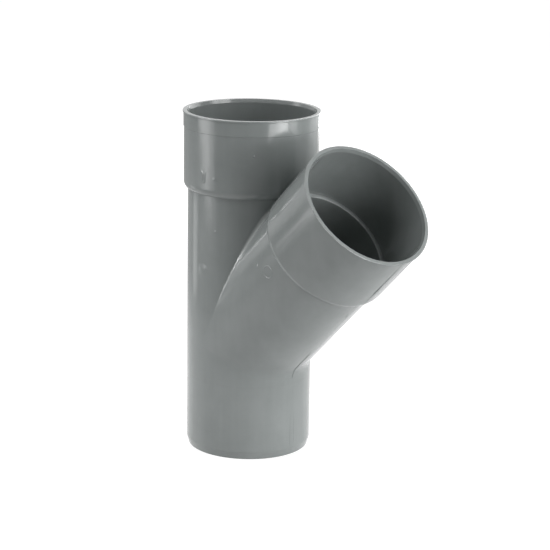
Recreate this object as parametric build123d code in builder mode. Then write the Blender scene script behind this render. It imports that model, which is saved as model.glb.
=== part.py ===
from build123d import *
import os
from math import acos, cos, radians, sin, sqrt, tan

# Lateral wye fitting for a 110 mm drain, moulded in one piece.
# +Z runs up the straight run from the spigot end; the branch leans toward +X.

# Pipe size and walls.
pipe_diameter = 110.0
tube_wall = 3.2
socket_wall = 3.5

# Radial gap between a socket's bore and the pipe that is pushed into it.
pipe_clearance = 0.3

# Sockets, measured down from the mouth: inner stop ledge, and foot of the outer shoulder.
socket_depth = 63.0
shoulder_depth = 67.9
shoulder_radius = 7.0
stop_edge_radius = 0.8

# The spigot keeps the pipe's size a little farther up than a socket is deep. The body above it is larger.
spigot_spare = 2.0
body_rise = 0.1
blend_length = 2.0

# Plain body below the lower crotch's curve, and between the upper crotch and a shoulder.
branch_angle = 45.0
collar_length = 3.3
neck_length = 0.3

# Curves in the corners between the tubes, below and above the branch.
crotch_radius = 15.0
crease_radius = 3.0

# Mouth of each socket: bead outside, lead-in taper inside.
bead_height = 1.6
bead_rise = 0.7
mouth_edge_radius = 0.5
lead_in_depth = 3.0
lead_in_rise = 1.0

# Raised band below the mouth of the run socket.
band_height = 13.4
band_rise = 0.5

# Spigot end: outside taper and a broken inner edge.
taper_length = 6.5
taper_angle = 15.0
spigot_edge = 0.5

# The origin is on the run's axis, this far up the spigot, at the middle of its joint.
origin_height = 30.0

# Derived sizes.
pipe_radius = pipe_diameter / 2
body_radius = pipe_radius + body_rise
tube_bore_radius = pipe_radius - tube_wall
socket_bore_radius = pipe_radius + pipe_clearance
socket_radius = socket_bore_radius + socket_wall
lean = radians(branch_angle)
spigot_length = socket_depth + spigot_spare
crotch_height = spigot_length + blend_length + collar_length + crotch_radius * tan(lean / 2)
junction_height = crotch_height + body_radius * tan(lean / 2)
leg_length = body_radius / tan(lean / 2) + neck_length + shoulder_depth
run_length = junction_height + leg_length
tip_radius = pipe_radius - taper_length * tan(radians(taper_angle))

# Frames of the run and the branch, z out along each. Every round starts on their x side: the back of the
# run and the underside of the branch, where its start line stays clear of the upper corner.
run_frame = Plane(origin=(0, 0, 0), x_dir=(-1, 0, 0), z_dir=(0, 0, 1))
branch_frame = Plane(
    origin=(0, 0, junction_height), x_dir=(cos(lean), 0, -sin(lean)), z_dir=(sin(lean), 0, cos(lean))
)


def socket_cup(mouth, band_step):
    """Outside of a socket: shoulder curve, wall, band step and the bead at the mouth."""
    curve_radius = socket_radius - shoulder_radius
    curve_height = mouth - shoulder_depth + sqrt(shoulder_radius**2 - (body_radius - curve_radius) ** 2)
    # The shoulder curve runs on into the tube wall, so that the two surfaces cross.
    root_radius = body_radius - tube_wall / 2
    root_turn = acos((root_radius - curve_radius) / shoulder_radius)
    root = (root_radius, curve_height - shoulder_radius * sin(root_turn))
    middle = (
        curve_radius + shoulder_radius * cos(root_turn / 2),
        curve_height - shoulder_radius * sin(root_turn / 2),
    )
    rim_radius = socket_radius + band_step
    bead_radius = rim_radius + bead_rise
    wall = [(socket_radius, curve_height)]
    if band_step > 0:
        wall.append((socket_radius, mouth - band_height - band_step))
        wall.append((rim_radius, mouth - band_height))
    wall.append((rim_radius, mouth - bead_height))
    wall.append((bead_radius, mouth - bead_height))
    wall.append((bead_radius, mouth))
    wall.append((0, mouth))
    wall.append((0, root[1]))
    with BuildPart() as cup:
        with BuildSketch(Plane.XZ):
            with BuildLine():
                Line((0, root[1]), root)
                ThreePointArc(root, middle, wall[0])
                Polyline(*wall)
            make_face()
        revolve(axis=Axis.Z)
        circles = cup.edges().filter_by(GeomType.CIRCLE)
        fillet(circles.filter_by(lambda e: e.radius > bead_radius - 0.01), radius=mouth_edge_radius)
    return cup.part


def leg_cavity(start, mouth):
    """Inside of a leg: tube bore, stop ledge, socket bore and the lead-in taper."""
    stop = mouth - socket_depth
    with BuildPart() as cavity:
        with BuildSketch(Plane.XZ):
            with BuildLine():
                Polyline(
                    (0, start),
                    (tube_bore_radius, start),
                    (tube_bore_radius, stop),
                    (socket_bore_radius, stop),
                    (socket_bore_radius, mouth - lead_in_depth),
                    (socket_bore_radius + lead_in_rise, mouth),
                    (0, mouth),
                    close=True,
                )
            make_face()
        revolve(axis=Axis.Z)
        circles = cavity.edges().filter_by(GeomType.CIRCLE)
        ledge = circles.filter_by(lambda e: abs(e.arc_center.Z - stop) < 0.01)
        fillet(ledge.sort_by(SortBy.RADIUS)[0], radius=stop_edge_radius)
    return cavity.part


run_cup = socket_cup(run_length, band_rise).moved(run_frame.location)
branch_cup = socket_cup(leg_length, 0).moved(branch_frame.location)
run_cavity = leg_cavity(0, run_length).moved(run_frame.location)
branch_cavity = leg_cavity(0, leg_length).moved(branch_frame.location)

# Broken inner edge of the spigot's end.
with BuildPart() as end_break:
    foot = (Align.CENTER, Align.CENTER, Align.MIN)
    Cone(tube_bore_radius + spigot_edge, tube_bore_radius, spigot_edge, align=foot)

with BuildPart() as wye_body:
    # Run tube: tapered end, spigot wall, and the body above it.
    with BuildSketch(Plane.XZ):
        with BuildLine():
            Polyline(
                (0, 0),
                (-tip_radius, 0),
                (-pipe_radius, taper_length),
                (-pipe_radius, spigot_length),
                (-body_radius, spigot_length + blend_length),
                (-body_radius, run_length - socket_depth / 2),
                (0, run_length - socket_depth / 2),
                close=True,
            )
        make_face()
    revolve(axis=Axis.Z)

    # Branch tube of the same diameter.
    with BuildSketch(branch_frame):
        Circle(body_radius)
    extrude(amount=leg_length - socket_depth / 2)

    # Curves where the two tubes meet: below the branch first, then above it.
    corners = wye_body.edges().filter_by(GeomType.ELLIPSE)
    fillet(corners.filter_by(lambda e: (e @ 0.5).Z < junction_height), radius=crotch_radius)
    corners = wye_body.edges().filter_by(GeomType.ELLIPSE)
    fillet(corners.filter_by(lambda e: (e @ 0.5).Z > junction_height), radius=crease_radius)

    # Sockets.
    add(run_cup)
    add(branch_cup)

    # Open ways through the run and the branch.
    add(run_cavity, mode=Mode.SUBTRACT)
    add(branch_cavity, mode=Mode.SUBTRACT)
    add(end_break.part, mode=Mode.SUBTRACT)

wye_body.part = wye_body.part.moved(Location((0, 0, -origin_height)))
wye_body.part.label = "wye_body"

os.makedirs("parts", exist_ok=True)
export_step(wye_body.part, "parts/wye_body.step")
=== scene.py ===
import bpy
from math import cos, pi, radians, sin, sqrt, tan
from mathutils import Matrix, Vector


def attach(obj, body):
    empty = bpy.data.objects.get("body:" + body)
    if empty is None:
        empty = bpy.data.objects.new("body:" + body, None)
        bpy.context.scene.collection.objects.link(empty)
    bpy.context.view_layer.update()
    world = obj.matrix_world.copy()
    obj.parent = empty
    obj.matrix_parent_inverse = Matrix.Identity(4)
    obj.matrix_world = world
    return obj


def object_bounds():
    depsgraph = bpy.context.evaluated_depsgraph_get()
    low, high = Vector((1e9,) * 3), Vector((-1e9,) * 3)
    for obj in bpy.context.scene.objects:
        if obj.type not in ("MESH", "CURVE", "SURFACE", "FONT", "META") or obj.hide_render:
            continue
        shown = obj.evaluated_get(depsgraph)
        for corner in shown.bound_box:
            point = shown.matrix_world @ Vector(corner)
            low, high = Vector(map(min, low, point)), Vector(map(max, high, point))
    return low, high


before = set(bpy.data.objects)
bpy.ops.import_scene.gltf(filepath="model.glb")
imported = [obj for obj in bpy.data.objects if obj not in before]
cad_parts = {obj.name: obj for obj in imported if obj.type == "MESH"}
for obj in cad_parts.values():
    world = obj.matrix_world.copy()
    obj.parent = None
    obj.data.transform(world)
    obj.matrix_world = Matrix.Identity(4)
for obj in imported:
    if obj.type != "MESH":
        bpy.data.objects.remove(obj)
cad_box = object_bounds()

# The fitting: one injection-moulded piece, the straight run with its spigot and socket and the branch socket
# that leans out at 45 degrees. It is rigid grey drain plastic, coloured right through and left as it comes
# out of the mould, with a satin gloss, faint clouding and a slightly wavy skin.
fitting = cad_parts["wye_body"]

light_grey = (0.224, 0.242, 0.239, 1)
dark_grey = (0.188, 0.205, 0.202, 1)

grey_plastic = bpy.data.materials.new("grey_drain_plastic")
grey_plastic.use_nodes = True
nodes = grey_plastic.node_tree.nodes
links = grey_plastic.node_tree.links
skin = nodes["Principled BSDF"]
skin.inputs["IOR"].default_value = 1.5
place = nodes.new("ShaderNodeTexCoord")

# Clouding: pigment that mixed unevenly as the plastic flowed, a few centimetres across.
cloud = nodes.new("ShaderNodeTexNoise")
cloud.inputs["Scale"].default_value = 26.0
cloud.inputs["Detail"].default_value = 4.0
cloud.inputs["Roughness"].default_value = 0.6
links.new(place.outputs["Object"], cloud.inputs["Vector"])

# Flow streaks, drawn out along the run.
stretch = nodes.new("ShaderNodeMapping")
stretch.inputs["Scale"].default_value = (120.0, 120.0, 9.0)
links.new(place.outputs["Object"], stretch.inputs["Vector"])
streak = nodes.new("ShaderNodeTexNoise")
streak.inputs["Scale"].default_value = 1.0
streak.inputs["Detail"].default_value = 2.0
links.new(stretch.outputs["Vector"], streak.inputs["Vector"])

blend = nodes.new("ShaderNodeMix")
blend.data_type = "FLOAT"
blend.inputs["Factor"].default_value = 0.3
links.new(cloud.outputs["Fac"], blend.inputs["A"])
links.new(streak.outputs["Fac"], blend.inputs["B"])
tone = nodes.new("ShaderNodeValToRGB")
tone.color_ramp.elements[0].position = 0.3
tone.color_ramp.elements[0].color = dark_grey
tone.color_ramp.elements[1].position = 0.7
tone.color_ramp.elements[1].color = light_grey
links.new(blend.outputs["Result"], tone.inputs["Fac"])
links.new(tone.outputs["Color"], skin.inputs["Base Color"])

# Gloss: handled patches are a little duller.
rub = nodes.new("ShaderNodeTexNoise")
rub.inputs["Scale"].default_value = 45.0
rub.inputs["Detail"].default_value = 5.0
links.new(place.outputs["Object"], rub.inputs["Vector"])
dull = nodes.new("ShaderNodeMapRange")
dull.inputs["From Min"].default_value = 0.3
dull.inputs["From Max"].default_value = 0.7
dull.inputs["To Min"].default_value = 0.13
dull.inputs["To Max"].default_value = 0.2
links.new(rub.outputs["Fac"], dull.inputs["Value"])
links.new(dull.outputs["Result"], skin.inputs["Roughness"])

# Skin: slow sink waves from cooling, and a fine grain.
wave = nodes.new("ShaderNodeTexNoise")
wave.inputs["Scale"].default_value = 38.0
wave.inputs["Detail"].default_value = 2.0
links.new(place.outputs["Object"], wave.inputs["Vector"])
sink = nodes.new("ShaderNodeBump")
sink.inputs["Strength"].default_value = 0.3
sink.inputs["Distance"].default_value = 0.0004
links.new(wave.outputs["Fac"], sink.inputs["Height"])
fine = nodes.new("ShaderNodeTexNoise")
fine.inputs["Scale"].default_value = 700.0
fine.inputs["Detail"].default_value = 3.0
links.new(place.outputs["Object"], fine.inputs["Vector"])
grain = nodes.new("ShaderNodeBump")
grain.inputs["Strength"].default_value = 0.06
grain.inputs["Distance"].default_value = 0.0001
links.new(fine.outputs["Fac"], grain.inputs["Height"])
links.new(sink.outputs["Normal"], grain.inputs["Normal"])
links.new(grain.outputs["Normal"], skin.inputs["Normal"])

fitting.data.materials.clear()
fitting.data.materials.append(grey_plastic)

# Parting lines: thin raised lines of the same plastic, left where the halves of the mould and its slides
# met. They go up the front of the spigot, round the corner and along the branch's underside, and up the
# run's back and along the branch's top. They stand out most in the corner and on the branch's socket.
pipe_radius = 0.055
body_radius = 0.0551
socket_radius = 0.0588
shoulder_radius = 0.007
shoulder_depth = 0.0679
neck_length = 0.0003
corner_radius = 0.015
corner_start = 0.0703
lean = radians(45)
spigot_end = cad_box[0][2]
crotch_height = spigot_end + corner_start + corner_radius * tan(lean / 2)
junction = Vector((0, 0, crotch_height + body_radius * tan(lean / 2)))
leg_length = body_radius / tan(lean / 2) + neck_length + shoulder_depth
branch_axis = Vector((sin(lean), 0, cos(lean)))
branch_under = Vector((cos(lean), 0, -sin(lean)))
side = Vector((0, 1, 0))
# Where a socket's shoulder curve starts at the tube and ends at the socket wall, along its leg.
shoulder_foot = leg_length - shoulder_depth
shoulder_centre = socket_radius - shoulder_radius
shoulder_end = shoulder_foot + sqrt(shoulder_radius**2 - (body_radius - shoulder_centre) ** 2)


def leg_radius(along):
    """Outside radius of a leg at a distance from the junction."""
    if along < shoulder_foot:
        return body_radius
    drop = max(0.0, shoulder_end - along)
    return shoulder_centre + sqrt(shoulder_radius**2 - drop**2)


def on_run(height, turn, radius):
    """Point on the run: height from the spigot's end, and turn in degrees from the branch's side."""
    return Vector((radius * cos(radians(turn)), radius * sin(radians(turn)), spigot_end + height))


def on_branch(along, turn, radius):
    """Point on the branch: distance along it from the junction, and turn in degrees from its underside."""
    outward = cos(radians(turn)) * branch_under + sin(radians(turn)) * side
    return junction + along * branch_axis + radius * outward


def sweep_tree(name):
    """Node tree that sweeps a round bar along rows of points, for lines that are sunk into the wall."""
    tree = bpy.data.node_groups.new(name, "GeometryNodeTree")
    tree.is_modifier = True
    tree.interface.new_socket("Geometry", in_out="INPUT", socket_type="NodeSocketGeometry")
    tree.interface.new_socket("Bar radius", in_out="INPUT", socket_type="NodeSocketFloat")
    tree.interface.new_socket("Bar sides", in_out="INPUT", socket_type="NodeSocketInt")
    tree.interface.new_socket("Plastic", in_out="INPUT", socket_type="NodeSocketMaterial")
    tree.interface.new_socket("Geometry", in_out="OUTPUT", socket_type="NodeSocketGeometry")
    source = tree.nodes.new("NodeGroupInput")
    path = tree.nodes.new("GeometryNodeMeshToCurve")
    section = tree.nodes.new("GeometryNodeCurvePrimitiveCircle")
    bar = tree.nodes.new("GeometryNodeCurveToMesh")
    smooth = tree.nodes.new("GeometryNodeSetShadeSmooth")
    plain = tree.nodes.new("GeometryNodeRealizeInstances")
    dress = tree.nodes.new("GeometryNodeSetMaterial")
    result = tree.nodes.new("NodeGroupOutput")
    bar.inputs["Fill Caps"].default_value = True
    tree.links.new(source.outputs["Geometry"], path.inputs["Mesh"])
    tree.links.new(source.outputs["Bar radius"], section.inputs["Radius"])
    tree.links.new(source.outputs["Bar sides"], section.inputs["Resolution"])
    tree.links.new(path.outputs["Curve"], bar.inputs["Curve"])
    tree.links.new(section.outputs["Curve"], bar.inputs["Profile Curve"])
    tree.links.new(bar.outputs["Mesh"], smooth.inputs["Geometry"])
    tree.links.new(smooth.outputs["Geometry"], plain.inputs["Geometry"])
    tree.links.new(plain.outputs["Geometry"], dress.inputs["Geometry"])
    tree.links.new(source.outputs["Plastic"], dress.inputs["Material"])
    tree.links.new(dress.outputs["Geometry"], result.inputs["Geometry"])
    return tree


line_tree = sweep_tree("moulding_line")
bar_sides = 14


def moulding_line(name, rows, bar_radius, closed=False):
    """Sweep the rows of points into one plain mesh that rides on the fitting."""
    verts = []
    edges = []
    for row in rows:
        first = len(verts)
        verts.extend(row)
        edges.extend((first + i, first + i + 1) for i in range(len(row) - 1))
        if closed:
            edges.append((first + len(row) - 1, first))
    mesh = bpy.data.meshes.new(name)
    mesh.from_pydata(verts, edges, [])
    line = bpy.data.objects.new(name, mesh)
    values = {"Bar radius": bar_radius, "Bar sides": bar_sides, "Plastic": grey_plastic}
    modifier = line.modifiers.new("sweep", "NODES")
    modifier.node_group = line_tree
    for socket in line_tree.interface.items_tree:
        if socket.in_out == "INPUT" and socket.name in values:
            modifier[socket.identifier] = values[socket.name]
    bpy.context.scene.collection.objects.link(line)
    plain = bpy.data.meshes.new_from_object(line.evaluated_get(bpy.context.evaluated_depsgraph_get()))
    line.modifiers.remove(modifier)
    line.data = plain
    plain.name = name
    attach(line, "root")


def rise(along, stops):
    """Height of a line at a place along it, between stops of place and height."""
    for (start, low), (stop, high) in zip(stops, stops[1:]):
        if along <= stop:
            share = (along - start) / (stop - start)
            return low + (high - low) * share * share * (3 - 2 * share)
    return stops[-1][1]


line_bar = 0.0005


def along_branch(turn, stops, count=90, bar=line_bar):
    """Row of points sunk into the branch so that the bar stands out by the height of the stops."""
    first = stops[0][0]
    last = stops[-1][0]
    row = []
    for i in range(count):
        along = first + (last - first) * i / (count - 1)
        row.append(on_branch(along, turn, leg_radius(along) - bar + rise(along, stops)))
    return row


def along_run(turn, radius, stops, count=40):
    """The same up the run, at one radius."""
    first = stops[0][0]
    last = stops[-1][0]
    row = []
    for i in range(count):
        height = first + (last - first) * i / (count - 1)
        row.append(on_run(height, turn, radius - line_bar + rise(height, stops)))
    return row


# Front of the spigot, in two lines 5 mm apart that start above its taper. A stop is a place and a height.
taper_top = 0.0075
spigot_line = along_run(0.4, pipe_radius, [(taper_top, 0), (0.011, 0.00016), (0.030, 0.00016), (0.042, 0)])
spigot_twin = along_run(5.1, pipe_radius, [(taper_top, 0), (0.011, 0.0001), (0.030, 0.0001), (0.042, 0)])
# Round the 15 mm curve in the lower corner, and on along the branch to its mouth, a little off the middle.
seam_turn = 2.0
seam_shift = body_radius * radians(seam_turn) * side
corner_centre = Vector((body_radius + corner_radius, 0, crotch_height - corner_radius * tan(lean / 2)))
corner_height = 0.00046
corner_points = 12
fade_points = 3
corner_line = []
for step in range(corner_points):
    turn = lean * step / (corner_points - 1)
    sunk = line_bar - corner_height * min(1.0, step / fade_points)
    outward = Vector((-cos(turn), 0, sin(turn)))
    corner_line.append(corner_centre + (corner_radius + sunk) * outward + seam_shift)
branch_start = body_radius * tan(lean / 2) + corner_radius * tan(lean / 2)
# It fades past the corner, stands up again in two short flecks on the tube, and rises on the socket.
branch_stops = [
    (branch_start, corner_height),
    (branch_start + 0.018, corner_height),
    (branch_start + 0.030, 0.00005),
    (leg_length - 0.0912, 0.00005),
    (leg_length - 0.0872, 0.00035),
    (leg_length - 0.0832, 0.00005),
    (leg_length - 0.0762, 0.00005),
    (leg_length - 0.0722, 0.0003),
    (leg_length - 0.0690, 0.00005),
    (shoulder_end, 0.00015),
    (leg_length - 0.055, 0.0003),
    (leg_length - 0.030, 0.00042),
    (leg_length - 0.004, 0.0002),
    (leg_length - 0.002, 0),
]
under_line = corner_line + along_branch(seam_turn, branch_stops, 180)
# The hidden half of the same seam: the run's back and the branch's top.
back_line = along_run(180, body_radius, [(0.069, 0), (0.075, 0.0001), (0.225, 0.0001), (0.231, 0)])
top_start = body_radius / tan(lean / 2) + 0.008
top_line = along_branch(180, [(top_start, 0), (top_start + 0.004, 0.0001), (leg_length - 0.002, 0.0001)])
moulding_line("parting_lines", [spigot_line, spigot_twin, under_line, back_line, top_line], line_bar)
# Half-way along the branch's socket the line swells into a low burr.
burr_bar = 0.001
burr_stops = [(leg_length - 0.058, 0), (leg_length - 0.041, 0.0008), (leg_length - 0.024, 0)]
moulding_line("parting_burr", [along_branch(seam_turn, burr_stops, 40, burr_bar)], burr_bar)

# Gate scar: the mark on the side of the run's socket, where the plastic was let in and the runner was cut
# away. Two low lips have a slit between them and part towards their ends, and a drop of plastic stands at
# the lower end of the slit.
scar_turn = -85.8
scar_height = 0.2496
lip_height = 0.00036
lip_offset = 0.00055
lip_inner_width = 0.00042
lip_outer_width = 0.0027
# How fast the lips part, how far up they are highest, and how far they reach from there.
lip_flare = 2.2e6
lip_middle = 0.0006
lip_reach = 0.0066
drop_place = -0.0045
drop_radius = 0.0014
drop_height = 0.0004
# A patch starts a little under the skin, so that it comes up out of the skin without a step.
patch_start = -0.00004
patch_depth = -0.0008


def soft_bump(share):
    """Smooth rise, from 0 at a share of 1 up to 1 at a share of 0."""
    return (1 - min(1.0, abs(share)) ** 2) ** 2


def scar_rise(across, up):
    """Height of the scar over the skin, at a place measured from the middle of the slit."""
    fade = soft_bump((up - lip_middle) / lip_reach)
    drop = drop_height * soft_bump(sqrt(across**2 + (up - drop_place) ** 2) / drop_radius)
    lips = 0.0
    for hand in (-1, 1):
        offset = hand * across - lip_offset - lip_flare * up**4
        lips += soft_bump(offset / (lip_inner_width if offset < 0 else lip_outer_width))
    return patch_start + max(drop, lip_height * min(1.0, lips) * fade)


patch_left = -0.0056
patch_width = 0.0112
patch_bottom = -0.0068
patch_height = 0.0152
scar_columns = 91
scar_rows = 45
verts = []
faces = []
for row in range(scar_rows):
    up = patch_bottom + patch_height * row / (scar_rows - 1)
    for column in range(scar_columns):
        across = patch_left + patch_width * column / (scar_columns - 1)
        at_edge = row in (0, scar_rows - 1) or column in (0, scar_columns - 1)
        lift = patch_depth if at_edge else scar_rise(across, up)
        turn = scar_turn + across / socket_radius * 180 / pi
        verts.append(on_run(scar_height + up, turn, socket_radius + lift))
        if row and column:
            corner = row * scar_columns + column
            faces.append((corner - scar_columns - 1, corner - scar_columns, corner, corner - 1))
# The underside, out of sight in the wall, closes from the patch's edge to one point.
last = scar_rows * scar_columns - 1
edge = [*range(0, last + 1, scar_columns), *range(last - scar_columns + 2, last + 1)]
edge += [*range(last - scar_columns, scar_columns - 2, -scar_columns), *range(scar_columns - 2, 0, -1)]
verts.append(on_run(scar_height, scar_turn, socket_radius + 1.5 * patch_depth))
faces.extend((a, b, last + 1) for a, b in zip(edge, [*edge[1:], edge[0]]))
mesh = bpy.data.meshes.new("gate_scar")
mesh.from_pydata(verts, [], faces)
mesh.shade_smooth()
mesh.materials.append(grey_plastic)
scar = bpy.data.objects.new("gate_scar", mesh)
bpy.context.scene.collection.objects.link(scar)
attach(scar, "root")

# Witness marks: small round marks and flecks of the same plastic, where pins and inserts of the mould
# touched the skin and where its face had a small pit. They stand out by less than half a millimetre.
dome_sides = 32
dome_rings = 9


def low_dome(height, turn, skin_radius, mark_radius, mark_height):
    """Verts and faces of a low dome on the run, with a rim that goes down into the wall."""
    outward = Vector((cos(radians(turn)), sin(radians(turn)), 0))
    sideways = Vector((0, 0, 1)).cross(outward)
    centre = on_run(height, turn, skin_radius)
    verts = [centre + (mark_height + patch_start) * outward]
    for ring in range(1, dome_rings + 2):
        share = min(1.0, ring / dome_rings)
        lift = patch_start + mark_height * soft_bump(share) if ring <= dome_rings else patch_depth
        for step in range(dome_sides):
            spin = 2 * pi * step / dome_sides
            across = mark_radius * share * cos(spin)
            sag = skin_radius - sqrt(skin_radius**2 - across**2)
            up = mark_radius * share * sin(spin)
            verts.append(centre + (lift - sag) * outward + across * sideways + Vector((0, 0, up)))
    faces = [(0, 1 + step, 1 + (step + 1) % dome_sides) for step in range(dome_sides)]
    for ring in range(dome_rings):
        for step in range(dome_sides):
            a = 1 + ring * dome_sides + step
            b = 1 + ring * dome_sides + (step + 1) % dome_sides
            faces.append((a, a + dome_sides, b + dome_sides, b))
    last = 1 + dome_rings * dome_sides
    faces.append(tuple(reversed(range(last, last + dome_sides))))
    return verts, faces


# Height up the run, turn, and radius of the skin there; then radius and height of the mark.
witness_marks = [
    (0.2491, -74.0, socket_radius, 0.0025, 0.00015),
    (0.2709, -40.1, socket_radius, 0.0012, 0.00044),
    (0.1664, -89.6, body_radius, 0.0072, 0.0004),
    (0.2030, -74.8, body_radius, 0.0017, 0.00019),
]
verts = []
faces = []
for mark in witness_marks:
    more_verts, more_faces = low_dome(*mark)
    faces.extend(tuple(len(verts) + i for i in face) for face in more_faces)
    verts.extend(more_verts)
mesh = bpy.data.meshes.new("witness_marks")
mesh.from_pydata(verts, [], faces)
mesh.shade_smooth()
mesh.materials.append(grey_plastic)
marks = bpy.data.objects.new("witness_marks", mesh)
bpy.context.scene.collection.objects.link(marks)
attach(marks, "root")

# Insert ring: a faint plain ring of the same plastic on the side of the branch, where a round steel insert
# sat in the mould, with a short tick beside it that the edge of a slide left.
ring_along = 0.1165
ring_turn = -89.5
ring_radius = 0.0052
ring_bar = 0.0009
ring_height = 0.0002
ring_points = 40
ring = []
for step in range(ring_points):
    turn = 2 * pi * step / ring_points
    ring.append(
        on_branch(
            ring_along + ring_radius * cos(turn),
            ring_turn + ring_radius * sin(turn) / body_radius * 180 / pi,
            body_radius - ring_bar + ring_height,
        )
    )
moulding_line("insert_ring", [ring], ring_bar, closed=True)
tick_along = 0.1062
tick_length = 0.004
tick_turn = -99.5
tick_slant = 4.6
tick_bar = 0.0015
tick_height = 0.00038
tick_points = 9
tick = []
for step in range(tick_points):
    share = step / (tick_points - 1)
    sunk = tick_bar - tick_height * sin(pi * share)
    turn = tick_turn - tick_slant * share
    tick.append(on_branch(tick_along + tick_length * share, turn, body_radius - sunk))
moulding_line("insert_tick", [tick], tick_bar)

# Floor and light: a plain white sheet under the spigot and an even white surround, as the fitting is shown.
# The floor keeps a faint shadow. Soft boxes stand round it on the floor, and larger, softer ones hang above.
floor_height = spigot_end
floor_reach = 30.0
floor_mesh = bpy.data.meshes.new("floor")
floor_corners = [
    (-floor_reach, -floor_reach, floor_height),
    (floor_reach, -floor_reach, floor_height),
    (floor_reach, floor_reach, floor_height),
    (-floor_reach, floor_reach, floor_height),
]
floor_mesh.from_pydata(floor_corners, [], [(0, 1, 2, 3)])
floor = bpy.data.objects.new("floor", floor_mesh)
bpy.context.scene.collection.objects.link(floor)


def seen_rays(tree):
    """1 for the rays that show the background: straight from the camera, off gloss or through glass."""
    path = tree.nodes.new("ShaderNodeLightPath")
    either = tree.nodes.new("ShaderNodeMath")
    either.operation = "MAXIMUM"
    any_of = tree.nodes.new("ShaderNodeMath")
    any_of.operation = "MAXIMUM"
    tree.links.new(path.outputs["Is Camera Ray"], either.inputs[0])
    tree.links.new(path.outputs["Is Glossy Ray"], either.inputs[1])
    tree.links.new(either.outputs["Value"], any_of.inputs[0])
    tree.links.new(path.outputs["Is Transmission Ray"], any_of.inputs[1])
    return any_of.outputs["Value"]


white_floor = bpy.data.materials.new("white_floor")
white_floor.use_nodes = True
tree = white_floor.node_tree
matt = tree.nodes["Principled BSDF"]
matt.inputs["Roughness"].default_value = 0.9
matt.inputs["Specular IOR Level"].default_value = 0.0
shaded = tree.nodes.new("ShaderNodeBsdfDiffuse")
shaded.inputs["Color"].default_value = (0.25, 0.25, 0.25, 1)
glow = tree.nodes.new("ShaderNodeEmission")
# Straight from the camera the sheet is nearly white by the fitting, and ends in plain white farther out.
place = tree.nodes.new("ShaderNodeTexCoord")
away = tree.nodes.new("ShaderNodeVectorMath")
away.operation = "LENGTH"
lit = tree.nodes.new("ShaderNodeMapRange")
lit.inputs["From Min"].default_value = 0.5
lit.inputs["From Max"].default_value = 1.3
lit.inputs["To Min"].default_value = 0.85
lit.inputs["To Max"].default_value = 1.0
tree.links.new(place.outputs["Object"], away.inputs[0])
tree.links.new(away.outputs["Value"], lit.inputs["Value"])
# In the gloss and in bounced light the sheet carries a painted pool of light, brightest round the fitting
# and greyer farther out: a brighter colour for bounced light near the fitting, and a glow in the gloss.
painted_light_pool = tree.nodes.new("ShaderNodeMapRange")
painted_light_pool.interpolation_type = "SMOOTHSTEP"
painted_light_pool.inputs["From Min"].default_value = 0.2
painted_light_pool.inputs["From Max"].default_value = 0.7
painted_light_pool.inputs["To Min"].default_value = 0.75
painted_light_pool.inputs["To Max"].default_value = 0.2
tree.links.new(away.outputs["Value"], painted_light_pool.inputs["Value"])
tree.links.new(painted_light_pool.outputs["Result"], matt.inputs["Base Color"])
# The painted pool of light glows as emission in the gloss, 1.2 times as strong as its colour.
mirrored = tree.nodes.new("ShaderNodeMath")
mirrored.operation = "MULTIPLY"
mirrored.inputs[1].default_value = 1.2
tree.links.new(painted_light_pool.outputs["Result"], mirrored.inputs[0])
straight = tree.nodes.new("ShaderNodeLightPath")
seen = tree.nodes.new("ShaderNodeMix")
seen.data_type = "FLOAT"
tree.links.new(straight.outputs["Is Camera Ray"], seen.inputs["Factor"])
tree.links.new(mirrored.outputs["Value"], seen.inputs["A"])
tree.links.new(lit.outputs["Result"], seen.inputs["B"])
tree.links.new(seen.outputs["Result"], glow.inputs["Strength"])
shown = tree.nodes.new("ShaderNodeAddShader")
choice = tree.nodes.new("ShaderNodeMixShader")
tree.links.new(shaded.outputs["BSDF"], shown.inputs[0])
tree.links.new(glow.outputs["Emission"], shown.inputs[1])
tree.links.new(seen_rays(tree), choice.inputs["Fac"])
tree.links.new(matt.outputs["BSDF"], choice.inputs[1])
tree.links.new(shown.outputs["Shader"], choice.inputs[2])
tree.links.new(choice.outputs["Shader"], tree.nodes["Material Output"].inputs["Surface"])
floor_mesh.materials.append(white_floor)

surround = bpy.data.worlds.new("white_surround")
bpy.context.scene.world = surround
surround.use_nodes = True
tree = surround.node_tree
backdrop = tree.nodes["Background"]
backdrop.inputs["Color"].default_value = (1, 1, 1, 1)
tree.links.new(seen_rays(tree), backdrop.inputs["Strength"])


def lamp_panel(name, place, away, width, height, power):
    """Lamp panel at a place, facing against the direction that leads away from the fitting."""
    panel = bpy.data.lights.new(name, "AREA")
    panel.shape = "RECTANGLE"
    panel.size = width
    panel.size_y = height
    panel.energy = power
    lamp = bpy.data.objects.new(name, panel)
    lamp.location = place
    lamp.rotation_euler = away.to_track_quat("Z", "Y").to_euler()
    bpy.context.scene.collection.objects.link(lamp)


# The middle of the fitting, sideways and in height, which the soft boxes face.
aim_across = 0.05
aim_height = 0.12


def high_box(name, azimuth, elevation, distance, size, power):
    """Square soft box aimed at the middle of the fitting, at a bearing and an elevation in degrees."""
    bearing = radians(azimuth)
    lift = radians(elevation)
    away = Vector((cos(bearing) * cos(lift), sin(bearing) * cos(lift), sin(lift)))
    middle = Vector((aim_across, 0, aim_height))
    lamp_panel(name, middle + distance * away, away, size, size, power)


def standing_box(name, azimuth, distance, width, low, high, power):
    """Upright soft box at a bearing, from a low to a high edge above the floor."""
    away = Vector((cos(radians(azimuth)), sin(radians(azimuth)), 0))
    middle = Vector((aim_across, 0, floor_height + (low + high) / 2))
    lamp_panel(name, middle + distance * away, away, width, high - low, power)


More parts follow.
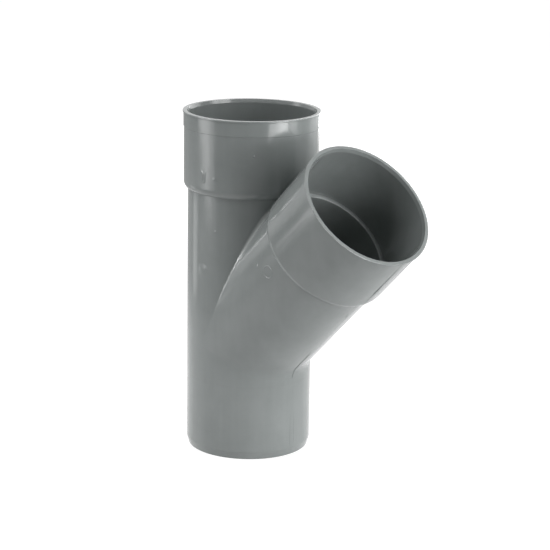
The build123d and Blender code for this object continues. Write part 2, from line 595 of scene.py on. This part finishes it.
# Bearing, distance, width, lower edge, upper edge and power.
standing_box("right_front_panel", 12, 1.6, 0.6, 0, 1.3, 14.5)
standing_box("right_side_panel", 31, 1.6, 0.4, 0, 1.3, 9)
standing_box("back_panel", 88, 1.6, 1.0, 0, 1.3, 7.5)
standing_box("right_back_panel", 119, 1.6, 0.6, 0, 2.2, 28)
standing_box("left_panel", -135, 1.6, 0.4, 0, 1.3, 5.2)
standing_box("front_window", 2.2, 1.2, 0.72, 0, 0.3, 4.3)
standing_box("left_window", -122, 1.1, 0.5, 0, 0.3, 0.9)
standing_box("left_strip", -160, 0.6, 0.14, 0, 0.12, 0.06)
standing_box("left_window_bar", -123, 1.08, 0.2, 0, 0.3, 0.35)
standing_box("left_bar", -118, 1.55, 0.25, 0.24, 0.4, 4.5)
# Bearing, elevation, distance, size and power.
high_box("branch_box", 0, 45, 2.0, 0.4, 4.5)
high_box("left_high_box", -120, 55, 2.0, 0.9, 17)
high_box("behind_high_box", -180, 55, 2.0, 0.9, 7)

# Camera: a long lens at the photograph's height and angle. It looks down a little on the side of the
# fitting and into the mouths of both sockets.
camera_azimuth = radians(-42.138)
camera_distance = 1.647009
camera_height = 0.586088
aim_turn = radians(-0.769)
aim_tilt = radians(14.724)
aim_roll = radians(0.965)

camera_data = bpy.data.cameras.new("camera")
camera_data.lens = 126.244
camera_data.sensor_width = 36.0
camera = bpy.data.objects.new("camera", camera_data)
bpy.context.scene.collection.objects.link(camera)
bpy.context.scene.camera = camera
spot = Vector((camera_distance * cos(camera_azimuth), camera_distance * sin(camera_azimuth), 0))
spot.z = floor_height + camera_height
heading = camera_azimuth + pi + aim_turn
forward = Vector((cos(heading) * cos(aim_tilt), sin(heading) * cos(aim_tilt), -sin(aim_tilt)))
level = Vector((sin(heading), -cos(heading), 0))
upward = level.cross(forward)
right = cos(aim_roll) * level + sin(aim_roll) * upward
top = -sin(aim_roll) * level + cos(aim_roll) * upward
camera.matrix_world = Matrix.Translation(spot) @ Matrix((right, top, -forward)).transposed().to_4x4()

bpy.context.scene.view_settings.view_transform = "Standard"
